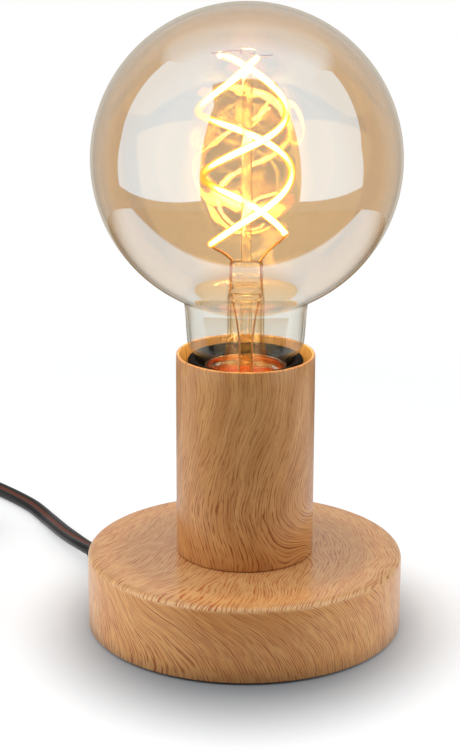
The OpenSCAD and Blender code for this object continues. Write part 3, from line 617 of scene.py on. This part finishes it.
def coil_point(t):
    """The coil after t turns: inwards on the floor, then back out in a second layer on top."""
    if t <= LOWER_TURNS:
        r = COIL_R - COIL_PITCH * t
    else:
        d = min(t - LOWER_TURNS, 2.9999)
        r = COIL_R - COIL_PITCH * LOWER_TURNS + 1.5 * COIL_PITCH * ease(2 * d)
        if d >= 1:
            r += COIL_PITCH * (math.floor(d) - 1 + ease(2 * (d - math.floor(d))))
    a = math.pi + 2 * math.pi * t
    return (COIL_X + r * math.cos(a), COIL_Y + r * math.sin(a), LIE_Z + LAYER * ease(2 * (t - 3)))


def on_floor(points):
    return [np.array((x, y, max(z, CORD_HALF))) for x, y, z in points]


def flex_section():
    """Two round cores side by side, with a narrow band in the groove between them."""
    meet = math.acos(-CORE_AT / CORE_R)
    wide = meet - 0.5
    angles = [-meet] + [-wide + 2 * wide * k / 8 for k in range(9)]
    return [(s * (CORE_AT + CORE_R * math.cos(a)), s * CORE_R * math.sin(a)) for s in (1, -1) for a in angles]


FLEX = flex_section()
HALF_FLEX = len(FLEX) // 2


def striped(j):
    """The stripe's material for the band in the groove, and the cord's for the rest."""
    return 1 if j % HALF_FLEX in (0, HALF_FLEX - 1) else 0


lamp_line = on_floor(spline(LAMP_PATH, 4))
floor_line = on_floor(spline(FLOOR_PATH, 6))
coil_line = [np.array(coil_point(i / TURN_STEPS)) for i in range(int(ALL_TURNS * TURN_STEPS) + 1)]
plug_line = on_floor(spline(RUN_PATH, 6)) + coil_line[1:-1] + on_floor(spline(TAIL_PATH, 6))


# the twist starts and ends so many points from the two ends of the line, and each change takes so many
TWIST, TWIST_START, TWIST_END, TWIST_CHANGE = math.radians(24), 18, 27, 14


def twist(i):
    """Behind the foot the flat lead twists a little, so that its face turns to the front."""
    begun = ease((i - TWIST_START) / TWIST_CHANGE)
    left = ease((len(floor_line) - TWIST_END - i) / TWIST_CHANGE)
    return TWIST * begun * left


for i, q in enumerate(floor_line):
    q[2] = max(q[2], CORD_HALF + CORE_AT * math.sin(twist(i)))


def cord(name, line, roll=None):
    return sweep(name, line, FLEX, "lamp", [M["cord"], M["stripe"]], pick=striped, roll=roll)


lead = cord("lead_to_switch", floor_line, roll=twist)
inside = cord("lead_inside", lamp_line)
plug_lead = cord("lead_to_plug", plug_line)
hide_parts("mains_lead")
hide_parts("mains_lead")
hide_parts("lead_run", "cord_coil", "lead_tail")

# ---------------------------------------------------------------- foot and tube
foot_prof = [(r, BASE_H) for r in (16, 21, 30, 40, 46)]
foot_prof += arc(BASE_R - BASE_ROUND, BASE_H - BASE_ROUND, BASE_ROUND, np.linspace(math.pi / 2, 0, 9))
foot_prof += [(BASE_R, z) for z in (18, 12, 6, 1.0)]
foot_prof += [(49.6, 0.6), (48.8, 0.6), (48.8, 12), (48.8, 22.9), (48.0, 23.8), (30, 23.8), (16, 23.8)]
foot = lathe("foot_shell", foot_prof, "lamp", [M["foot"]], n=192, sharp=50)
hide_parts("base_shell")

rim_top = RIM_Z - RIM_ROUND
tube_prof = [(5.25, 25.0), (21.0, 25.0), (21.2, 25.15), (21.5, 25.3), (TUBE_R, 25.75)]
tube_prof += [(TUBE_R, z) for z in (35, 45, 55, 65, 75, 85, rim_top)]
tube_prof += arc(TUBE_R - RIM_ROUND, rim_top, RIM_ROUND, np.linspace(0, math.pi, 9)[1:-1])
tube_prof += [(BORE_R, z) for z in (rim_top, 80, 70, 60, 50, 40, 28)] + [(20.2, 26.5), (5.25, 26.5)]
tube = lathe("round_tube", tube_prof, "lamp", [M["tube"]], n=192, sharp=50)
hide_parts("housing_tube")

# ---------------------------------------------------------------- lampholder
shell = [(HOLDER_R, z) for z in (JOIN_Z, 60, 75, LIP_Z - LIP_ROUND)]
shell += arc(HOLDER_R - LIP_ROUND, LIP_Z - LIP_ROUND, LIP_ROUND, np.linspace(0, math.pi / 2, 6)[1:])
shell += [(16.1, LIP_Z), (15.8, LIP_Z - 0.1), (15.5, LIP_Z - 0.6), (14.1, LIP_Z - 4.3),
          (14.0, LIP_Z - 4.8), (14.0, BLOCK_Z), (16.2, BLOCK_Z), (16.2, JOIN_Z)]
holder = lathe("holder_shell", shell, "lamp", [M["holder"]], n=128, sharp=40)
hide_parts("lampholder_shell")


def thread(name, z0, z1, middle, depth, wall, body, mat, ends=2.0, n=72):
    """A rolled screw thread: a wave that winds up the wall, fading out at both ends."""
    rows = int((z1 - z0) / 0.3)
    verts = []
    for inward in (0.0, wall):
        for k in range(rows + 1):
            z = z0 + (z1 - z0) * k / rows
            fade = ease((z - z0) / ends) * ease((z1 - z) / ends)
            for i in range(n):
                a = 2 * math.pi * i / n
                r = middle + depth * math.cos(2 * math.pi * (z / THREAD_PITCH) - a) * fade - inward
                verts.append((r * math.cos(a), r * math.sin(a), z))
    within, top_row = (rows + 1) * n, rows * n
    faces = []
    for k in range(rows):
        faces += quads(k * n, (k + 1) * n, n)
        faces += [f[::-1] for f in quads(within + k * n, within + (k + 1) * n, n)]
    faces += quads(0, within, n, flip=True) + quads(top_row, within + top_row, n)
    return put(name, verts, faces, body, [mat])


screw = thread("holder_screw_shell", BLOCK_Z, 84.0, 13.55, 0.17, 0.3, "lamp", M["nickel"])
flange_prof = [(8, BLOCK_Z), (13.4, BLOCK_Z), (13.4, BLOCK_Z + 0.4), (8, BLOCK_Z + 0.4)]
flange = lathe("holder_screw_flange", flange_prof, "lamp", [M["nickel"]], n=96, sharp=40)
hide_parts("screw_shell")
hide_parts("screw_shell")

# ---------------------------------------------------------------- bulb
# the neck runs into the globe over a hollow curve of this radius, whose centre lies at this height
HOLLOW_R = 4.0
HOLLOW_Z = GLOBE_Z - math.sqrt((GLOBE_R + HOLLOW_R) ** 2 - (NECK_R + HOLLOW_R) ** 2)


def bulb_profile(t):
    """Radius and height from the neck's lower edge to the top of the globe, t inside the outer face."""
    low = [(12.6 - t, CAP_TOP - 6), (12.6 - t, CAP_TOP - 3), (12.6 - t, CAP_TOP + 0.2 + t / 4),
           (13.3 - t * 0.9, CAP_TOP + 1.5 + t / 3), (14.4 - t * 0.75, CAP_TOP + 2.9 + t * 0.7),
           (15.8 - t * 0.7, CAP_TOP + 4.3 + t * 0.75), (17.1 - t * 0.8, CAP_TOP + 5.5 + t * 0.6),
           (17.9 - t, CAP_TOP + 6.9 + t * 0.3), (18.2 - t, CAP_TOP + 8.5)]
    pts = [tuple(q) for q in spline(low, 4)]
    pts += [(18.2 - t + 0.8 * k / 6, CAP_TOP + 8.5 + (HOLLOW_Z - CAP_TOP - 8.5) * k / 6) for k in range(1, 7)]
    out = NECK_R + HOLLOW_R
    end = math.atan2(GLOBE_Z - HOLLOW_Z, -out)
    pts += arc(out, HOLLOW_Z, HOLLOW_R + t, [math.pi + (end - math.pi) * i / 10 for i in range(1, 11)])
    start = math.atan2(HOLLOW_Z - GLOBE_Z, out)
    pts += arc(0, GLOBE_Z, GLOBE_R - t, [start + (math.pi / 2 - start) * i / 72 for i in range(1, 72)])
    return pts + [(0.0, GLOBE_Z + GLOBE_R - t)]


outer = bulb_profile(0.0)
globe = lathe("globe_glass", outer + bulb_profile(GLASS)[::-1], "bulb", [M["amber"], M["amber_in"]], n=192,
              pick=lambda k: 0 if k < len(outer) else 1)
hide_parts("bulb_globe")

STEM = [(11.8, 80.0), (11.8, 80.8), (9.5, 83.4), (7.4, 87), (6.1, 92), (5.7, 97), (5.7, 107), (5.6, 108.6),
        (5.0, 110.4), (3.0, 111.6), (0, 111.8), (0, 107.6), (3.0, 107.4), (4.4, 106.8), (4.9, 105.4),
        (4.9, 97), (5.3, 92), (6.6, 86.8), (8.8, 82.6), (10.7, 80.0)]
flare = lathe("stem_flare", STEM, "bulb", [M["stem"]], n=64, closed=False)

# the flat press that grips the two leads: height and half-widths, from round below to flat above
PRESS = [(107.6, 5.5, 5.5), (109.5, 5.4, 4.6), (111.5, 5.3, 3.1), (114, 5.25, 2.3), (117, 5.3, 2.2),
         (118.6, 5.2, 2.2), (119.2, 4.7, 1.9)]
AROUND = 40
verts, faces = [], []
for z, wide, deep in PRESS:
    verts += [(wide * math.copysign(abs(c) ** 0.8, c), deep * math.copysign(abs(s) ** 0.8, s), z)
              for c, s in circle(1.0, AROUND)]
for k in range(len(PRESS) - 1):
    faces += quads(k * AROUND, (k + 1) * AROUND, AROUND)
faces += [tuple(reversed(range(AROUND))), tuple((len(PRESS) - 1) * AROUND + i for i in range(AROUND))]
press = put("stem_press", verts, faces, "bulb", [M["press"]])
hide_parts("bulb_stem")
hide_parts("bulb_stem")

ROD = [(0, 119.1), (1.65, 119.1), (1.65, 182.4), (1.9, 182.9), (2.45, 183.3), (2.5, 184.0), (2.2, 184.5),
       (1.3, 184.8), (0, 184.9)]
rod = lathe("glass_rod", ROD, "bulb", [M["rod"]], n=32, closed=False)
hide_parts("filament_post")

# each strand's points: degrees round the post, distance from it, height
STRANDS = {
    "a": [(-60, 6, 183), (-90, 8, 180.5), (-135, 12, 173.4), (-180, 14.7, 166), (-225, 14.6, 161),
          (-270, 14.2, 156.5), (-315, 13.9, 151.9), (-360, 13.7, 147), (-405, 13.6, 141.3),
          (-450, 13.6, 135.2), (-478, 13.8, 130.6), (-502, 14, 126.5)],
    "b": [(-215, 10.5, 182), (-242, 10.8, 180.4), (-270, 11.2, 177.4), (-315, 11.6, 171.6),
          (-360, 11.9, 166.3), (-405, 12.8, 161.8), (-450, 13.5, 157.2), (-495, 13.5, 151.6),
          (-540, 13.4, 145.6), (-585, 13.5, 140.2), (-630, 13.7, 134.7), (-665, 14, 129.6),
          (-690, 14.2, 126)],
}


def around_post(degrees, r, z):
    a = math.radians(degrees)
    return np.array((r * math.cos(a), r * math.sin(a), z))


def round_ends(steps):
    """Sizes a strand so that its last two steps at either end close in."""
    def size(s):
        step = min(s, 1 - s) * steps
        return 0.55 + 0.45 * math.sqrt(min(1.0, step / 2.0)) if step < 2 else 1.0
    return size


strand = {key: [around_post(*q) for q in spline(points, 14)] for key, points in STRANDS.items()}
for key, line in strand.items():
    ob = sweep("strand_" + key, line, circle(STRAND_R, 20), "bulb", [M["glow"]],
               scale=round_ends(len(line) - 1))
    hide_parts("filament_" + key)
A, B = strand["a"], strand["b"]


def wire(name, points, radius, steps=5, up=(0, 0, 1)):
    return sweep(name, spline(points, steps), circle(radius, 8), "bulb", [M["wire"]], up=up)


hook_a = wire("hook_a", [(0.6, -1.2, SPIDER_Z), (1.8, -3.2, SPIDER_Z + 0.1), tuple(A[0] + (0.3, 0, 0.3)),
                         tuple(A[0] + (4.4, 0.5, 0.5))], 0.25)
hook_b = wire("hook_b", [(-1, 0.8, SPIDER_Z), (-4.5, 3.2, SPIDER_Z + 0.2), tuple(B[0] + (0, 0, 0.4)),
                         tuple(B[0] + (-2.2, 0.6, 0.4))], 0.25)
LEAD_IN_A = [(-4.3, 0, -6), (-4.3, 0, -1), (-4.5, -0.2, 0.6), (-6.4, -2.4, 3), (-9, -5.9, 5.4)]
LEAD_IN_B = [(4.3, 0, -6), (4.3, 0, -1), (4.5, 0.2, 0.6), (6.4, 2, 2.8), (9.8, 5, 5)]
lead_ins = []
for key, points, line in (("a", LEAD_IN_A, A), ("b", LEAD_IN_B, B)):
    points = [(x, y, PRESS_TOP + z) for x, y, z in points] + [tuple(line[-1]), tuple(line[-4])]
    lead_ins.append(wire("lead_in_" + key, points, 0.35, up=(0.4, 0.1, 1)))
for ob in (hook_a, hook_b):
    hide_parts("support_wires")
for ob in lead_ins:
    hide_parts("lead_wires")
# the lead-in wires go on down inside the stem to the cap
for s, key in ((-1, "a"), (1, "b")):
    points = [(4.3 * s, 0, PRESS_TOP - 6.2), (4.0 * s, 0.3 * s, PRESS_TOP - 12),
              (2.6 * s, 0.8 * s, PRESS_TOP - 20), (1.9 * s, -0.4 * s, PRESS_TOP - 28),
              (2.3 * s, 0.4, PRESS_TOP - 38), (2.5 * s, 0.6, 77)]
    wire("stem_lead_" + key, points, 0.3, steps=6, up=(0.4, 0.3, 1))

cap = thread("cap_thread", 65.0, CAP_TOP, 12.75, 0.35, 0.35, "bulb", M["nickel"], ends=2.5)
CONE = [(11.1, 62.5), (12.75, 65.0), (12.4, 65.3), (10.7, 62.9)]
cone = lathe("cap_cone", CONE, "bulb", [M["nickel"]], n=72, sharp=50)
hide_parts("cap_shell")
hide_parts("cap_shell")
CEMENT = [(3.2, 79.6), (8, 79.7), (11.0, 80.3), (11.9, 81.4), (12.62, 83.2), (12.69, CAP_TOP - 0.1),
          (12.69, 78.4), (3.2, 78.2)]
# the cement ring carries painted glow of the strands' light
lathe("cement_ring_painted_glow", CEMENT, "bulb", [M["cement_painted_glow"]], n=96)

# the lead's far end and the switch lie beside the lamp, and stay out of the globe's reflections
BESIDE = ("switch_lower", "switch_upper", "switch_rocker", "switch_screws", "switch_terminals", "plug_body",
          "plug_relief", "plug_pins", "pin_sleeves", "cord_grommet")
for ob in [lead, plug_lead] + [NODES[name] for name in BESIDE]:
    ob.visible_glossy = False
# clear glass casts no shadow
for ob in (globe, flare, press, rod, NODES["exhaust_tube"]):
    ob.visible_shadow = False

# ---------------------------------------------------------------- floor
FLOOR_R = 340
fl = Net("floor")
spot = fl.new("NewGeometry").outputs["Position"]
ray = fl.new("LightPath").outputs
camera_ray, glossy_ray, passed_ray = ray["Is Camera Ray"], ray["Is Glossy Ray"], ray["Is Transmission Ray"]
seen_plain = fl.math("MAXIMUM", camera_ray, passed_ray)
out_from_lamp = fl.length(fl.mapped(spot, (0.0012, 0.0056, 0), (1.27, 1, 1)))

# painted shadow: the floor by the foot is a darker diffuse grey than the rest, an oval round the lamp, and it
# takes the lamp's real shadow too
fl.set(Roughness=1.0, Specular_IOR_Level=0.0, Base_Color=(0.265, 0.292, 0.317))
# further off it is pale paper, lifted to white for the camera, which takes shadows too
paper = fl.new("BsdfDiffuse")
fl.feed(paper.inputs["Color"], (0.775, 0.80, 0.825))
lit = fl.both(paper.outputs[0], fl.light("Emission", (1.0, 1.0, 1.0), fl.mul(camera_ray, 0.36)))
# mirrors see a lit table top, which ends a little in front of the lamp and dims towards the back
table_centre = fl.new("VectorMath", operation="DISTANCE")
fl.link(spot, table_centre.inputs[0])
table_centre.inputs[1].default_value = (0, 0.56, 0)
dimming = fl.step(fl.axes(spot)[1], 0.05, 0.25, 0.88, 0.1)
table = fl.mul(fl.step(table_centre.outputs["Value"], 0.648, 0.636), dimming)
shining = fl.light("Emission", (1.0, 1.0, 1.0), fl.math("MAXIMUM", seen_plain, table))
# the camera sees plain white at the floor's edge; beyond the foot mirrors see the table, and glass white
edge = fl.mul(fl.step(out_from_lamp, 0.25, 0.34), seen_plain)
share = fl.math("MAXIMUM", edge, fl.math("MAXIMUM", passed_ray, glossy_ray))
distant = fl.blend(share, lit, shining)
# the painted shadow's darker grey fades out into the paper between these distances
fl.link(fl.blend(fl.step(out_from_lamp, 0.039, 0.0985), fl.bsdf.outputs[0], distant), fl.surface)

rim_points = [(x, y, 0) for x, y in circle(FLOOR_R, 96)]
floor_faces = [(0, 1 + i, 1 + (i + 1) % 96) for i in range(96)]
floor = put("floor", [(0, 0, 0)] + rim_points, floor_faces, None, [fl.mat], smooth=False)

# ---------------------------------------------------------------- background
world = bpy.data.worlds.new("studio")
SCENE.world = world
world.use_nodes = True
world.node_tree.nodes.clear()
sky = Tree(world.node_tree)
wx, wy, wz = sky.axes(sky.new("TexCoord").outputs["Generated"])


def window(turn, left, right, sill, head, lean_left, lean_right):
    """A tall panel in the room's mirror image: its face points at the lamp from turn degrees off front.

    The other numbers are in distances from the lamp; the leans widen it towards its head.
    """
    a = math.radians(turn)
    outward = math.copysign(1, turn)
    face = sky.add(sky.mul(wx, math.sin(a)), sky.mul(wy, -math.cos(a)))
    along = sky.add(sky.mul(wx, outward * math.cos(a)), sky.mul(wy, outward * math.sin(a)))
    front = sky.math("MAXIMUM", face, 0.02)
    u, v = sky.math("DIVIDE", along, front), sky.math("DIVIDE", wz, front)

    def widened(height, lean):
        above = sky.math("MAXIMUM", sky.math("SUBTRACT", v, height), 0.0)
        return sky.math("SUBTRACT", u, sky.mul(above, lean))

    inside_u = sky.mul(sky.step(widened(1.2, lean_left), left - 0.012, left + 0.012),
                       sky.step(widened(0.15, lean_right), right + 0.02, right - 0.02))
    inside_v = sky.mul(sky.step(v, sill - 0.01, sill + 0.01), sky.step(v, head + 0.03, head - 0.03))
    dim = sky.step(u, left + 0.4 * (right - left), right, 1.0, 0.86)
    return sky.mul(sky.mul(inside_u, inside_v), sky.mul(sky.step(face, 0.02, 0.04), dim))


# what mirrors see: a dark room in front, a pale backdrop behind, two windows, a soft panel overhead
backdrop = sky.add(sky.step(wy, 0.33, 0.92, 0.07, 0.42), sky.step(wy, 0.82, 0.94, 0.0, 0.2))
sideways = sky.math("DIVIDE", sky.math("ABSOLUTE", wx), sky.math("MAXIMUM", wz, 0.05))
panel = sky.mul(sky.step(wy, 0.05, 0.45, 1.15, 0.62),
                sky.mul(sky.step(wy, -0.34, -0.31), sky.step(sideways, 1.15, 0.75)))
panel = sky.mul(panel, sky.mul(sky.step(wz, 0.4, 0.62), sky.step(wy, 0.45, 0.7, 1.0, 0.55)))
windows = sky.math("MAXIMUM", sky.mul(window(-60, -0.5, 1.07, -0.38, 2.05, 0.5, 0.4), 1.25),
                   sky.mul(window(46, -0.12, 1.06, -0.35, 2.3, 0.1, 0.6), 1.2))
room = sky.math("MAXIMUM", sky.math("MAXIMUM", backdrop, panel), windows)

WHITE = (1.0, 1.0, 1.0)
mirrored = sky.light("Background", WHITE, room)
fill = sky.light("Background", WHITE, sky.step(wy, -0.6, 0.6, 0.08, 0.62))
white = sky.light("Background", WHITE, 1.0)
ray = sky.new("LightPath").outputs
lighting = sky.blend(ray["Is Glossy Ray"], fill, mirrored)
seen = sky.math("MAXIMUM", ray["Is Camera Ray"], ray["Is Transmission Ray"])
sky.link(sky.blend(seen, lighting, white), sky.new("OutputWorld").inputs["Surface"])


# ---------------------------------------------------------------- lights
def unseen(name, data):
    """Adds a light that the camera, mirrors and clear glass don't see."""
    ob = bpy.data.objects.new(name, data)
    SCENE.collection.objects.link(ob)
    ob.visible_camera = ob.visible_transmission = ob.visible_glossy = False
    return ob


def softbox(name, azimuth, dist, height, w, h, strength, aim):
    """Azimuth is from the viewer's side, positive to the right. Strength 1 is a white panel."""
    a = math.radians(azimuth)
    at = Vector((dist * math.sin(a), -dist * math.cos(a), height))
    panel = bpy.data.lights.new(name, "AREA")
    panel.shape = "RECTANGLE"
    panel.size, panel.size_y = w, h
    panel.energy = strength * w * h * math.pi
    turn = (at - Vector(aim)).normalized().to_track_quat("Z", "Y")
    unseen(name, panel).matrix_world = Matrix.Translation(at) @ turn.to_matrix().to_4x4()


softbox("window_left", -86, 0.80, 0.42, 1.02, 1.25, 1.58, aim=(0, 0, 0.2))
softbox("window_right", 82, 0.80, 0.40, 1.0, 1.2, 1.05, aim=(0, 0, 0.2))
softbox("overhead", 0, 0.34, 0.86, 0.7, 0.6, 1.7, aim=(0, 0, 0.08))

# the lit strands throw warm light down the neck on to the cap, the holder and the tube's rim
warm = bpy.data.lights.new("strand_light", "SPOT")
warm.energy = 0.34
warm.color = (1.0, 0.72, 0.36)
warm.spot_size = math.radians(40.2)
warm.spot_blend = 0.12
warm.shadow_soft_size = 0.008
unseen("strand_light", warm).location = (0, 0, 0.150)

SCENE.cycles.transparent_max_bounces = 32
SCENE.view_settings.view_transform = "Standard"
